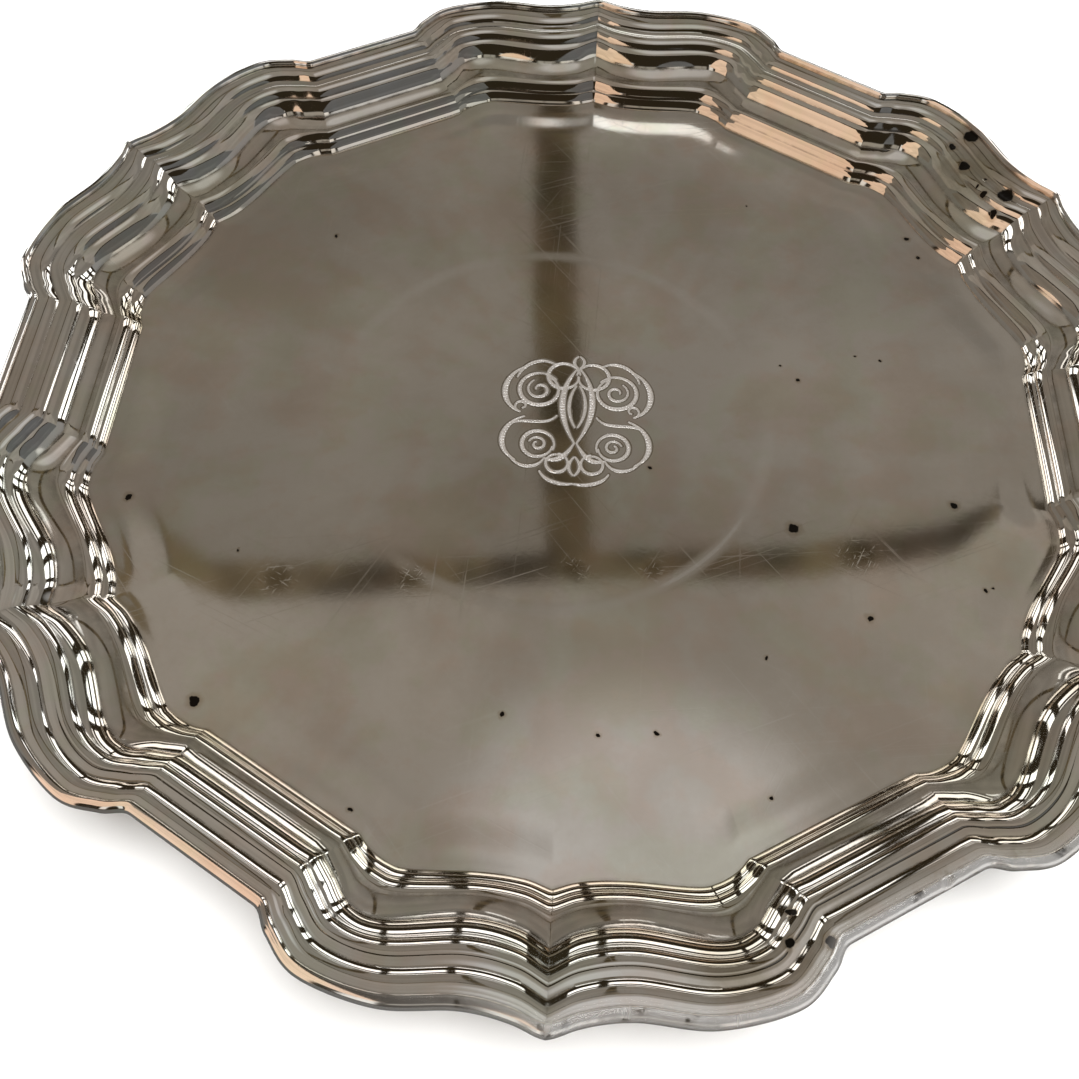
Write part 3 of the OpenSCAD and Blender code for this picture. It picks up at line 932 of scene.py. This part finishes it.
def panel(name, corners, height, strength, colour, cloud=CLOUD, soft=None):
    """A flat lit panel over the salver. soft is a centre and a radius that it fades out to."""
    mesh = bpy.data.meshes.new(name)
    points = [(x * apothem, y * apothem, well_z + height * apothem) for x, y in corners]
    mesh.from_pydata(points, [], [tuple(range(len(corners)))[::-1]])
    material, n = bare_material(name)
    scale, depth = cloud
    dim = n.ramp(n.noise(n.place(), scale, 3.0), .35, .65)
    glow = n.math("MULTIPLY", n.math("ADD", n.math("MULTIPLY", dim, depth), 1 - depth / 2), strength)
    surface = n.add("ShaderNodeEmission", {"Color": (*colour, 1), "Strength": glow}).outputs[0]
    if soft:
        (x, y), radius = soft
        away = n.flat_gap(n.place(), x * apothem, y * apothem)
        seen = n.ramp(away, radius * apothem, FADE_FROM * radius * apothem)
        clear = n.add("ShaderNodeBsdfTransparent").outputs[0]
        surface = n.add("ShaderNodeMixShader", {0: seen, 1: clear, 2: surface}).outputs[0]
    n.add("ShaderNodeOutputMaterial", {0: surface})
    stage_piece(name, mesh, material, camera=False, diffuse=False, shadow=False)


def key_light():
    """A soft lamp overhead that lights the floor and isn't mirrored in the metal."""
    key = bpy.data.lights.new("key", "AREA")
    key.size = KEY_SIZE
    key.energy = KEY_POWER
    lamp = bpy.data.objects.new("key", key)
    bpy.context.collection.objects.link(lamp)
    lamp.location = KEY_PLACE
    lamp.rotation_mode = "QUATERNION"
    lamp.rotation_quaternion = Vector(KEY_PLACE).to_track_quat("Z", "Y")
    lamp.visible_glossy = False
    lamp.visible_camera = False


def build_lights():
    """The room, its ceiling of panels and beams, and the key light."""
    world_light()
    for row in PANELS:
        panel(*row)
    key_light()


def build_floor():
    """Plain pale paper. The metal doesn't mirror it."""
    mesh = bpy.data.meshes.new("floor")
    reach = FLOOR_REACH * apothem
    mesh.from_pydata([(-reach, -reach, 0), (reach, -reach, 0), (reach, reach, 0), (-reach, reach, 0)], [],
                     [(0, 1, 2, 3)])
    material = bpy.data.materials.new("floor_paper")
    material.use_nodes = True
    shader = material.node_tree.nodes["Principled BSDF"]
    n = Nodes(material.node_tree)
    tone = n.mix(n.noise(n.place(), 60.0, 4.0), (.86, .86, .85, 1), (.90, .90, .89, 1))
    material.node_tree.links.new(tone, shader.inputs["Base Color"])
    shader.inputs["Roughness"].default_value = .85
    stage_piece("floor", mesh, material, glossy=False)


def build_backdrop():
    """A pale paper wall right round the floor. Only the camera sees it, so it doesn't dull the metal."""
    mesh = bpy.data.meshes.new("backdrop")
    columns = BACKDROP_COLUMNS
    radius = height = BACKDROP_REACH * apothem
    angles = np.linspace(0, 2 * pi, columns, endpoint=False)
    rows = []
    for r, z in ((radius, 0), (radius * 1.02, .06 * height), (radius * 1.03, .3 * height), (radius, height)):
        rows.append(np.column_stack([r * np.cos(angles), r * np.sin(angles), np.full(columns, z)]))
    mesh.from_pydata(np.vstack(rows).tolist(), [], strip_faces(len(rows), columns, closed=True))
    mesh.shade_smooth()
    material, n = bare_material("backdrop_paper")
    tone = n.mix(n.noise(n.place(), 2.0, 3.0), (.80, .80, .79, 1), (.86, .86, .85, 1))
    n.add("ShaderNodeOutputMaterial", {0: n.add("ShaderNodeEmission", {"Color": tone}).outputs[0]})
    stage_piece("backdrop", mesh, material, diffuse=False, glossy=False, shadow=False)


# ---------------------------------------------------------------- camera
CAMERA_PLACE = (-.03097, -1.55395, 2.06357)  # apothems from the middle of the well
CAMERA_TILT, CAMERA_TURN = 1.0330, .0259  # radians: how far down it looks, and how far left
CAMERA_ROLL = .0378
SENSOR, LENS = 36.0, 39.205  # millimetres


def build_camera():
    """The camera looks down at the well from the near side, turned and rolled a little."""
    place = Vector(CAMERA_PLACE) * apothem + Vector((0, 0, well_z))
    spin = Matrix.Rotation(CAMERA_TURN, 3, "Z")
    right = spin @ Vector((1, 0, 0))
    up = spin @ Vector((0, sin(CAMERA_TILT), cos(CAMERA_TILT)))
    ahead = spin @ Vector((0, cos(CAMERA_TILT), -sin(CAMERA_TILT)))
    x = cos(CAMERA_ROLL) * right + sin(CAMERA_ROLL) * up
    y = -sin(CAMERA_ROLL) * right + cos(CAMERA_ROLL) * up
    axes = Matrix((x, y, -ahead)).transposed().to_4x4()
    data = bpy.data.cameras.new("camera")
    data.sensor_width = SENSOR
    data.lens = LENS
    data.clip_start = .01
    camera = bpy.data.objects.new("camera", data)
    bpy.context.collection.objects.link(camera)
    camera.matrix_world = Matrix.Translation(place) @ axes
    bpy.context.scene.camera = camera


# ---------------------------------------------------------------- assembly
def build_salver():
    """The four materials, then the plate, six lengths of border and lip, and three feet."""
    plate = silver("plate_silver", (.84, .78, .70), (.73, .66, .57), .07, .05,
                   WELL_PITS + RIM_PITS, well=True)
    border = silver("border_silver", (.88, .84, .78), (.78, .72, .63), .3, .05,
                    RIM_PITS, stains=STAINS, wear=True)
    lip = silver("lip_silver", (.90, .87, .83), (.80, .75, .68), .3, .07, wear=True)
    foot = silver("foot_silver", (.76, .72, .66), (.60, .54, .46), .3, .16)
    build_plate(plate)
    lines = side_lines(RIM_SPAN_CELLS)
    lip_lines = side_lines(RIM_SPAN_CELLS, LIP_STRAIGHT_CELLS)
    for n in range(1, SIDES + 1):
        build_sections("border_section", border_profile(), n, border, lines)
        build_sections("lip_wire", lip_profile(), n, lip, lip_lines, lip_shape)
    for n in (1, 2, 3):
        build_foot(n, foot)


build_camera()
build_floor()
build_backdrop()
build_lights()
build_salver()
bpy.context.scene.view_settings.view_transform = "Standard"
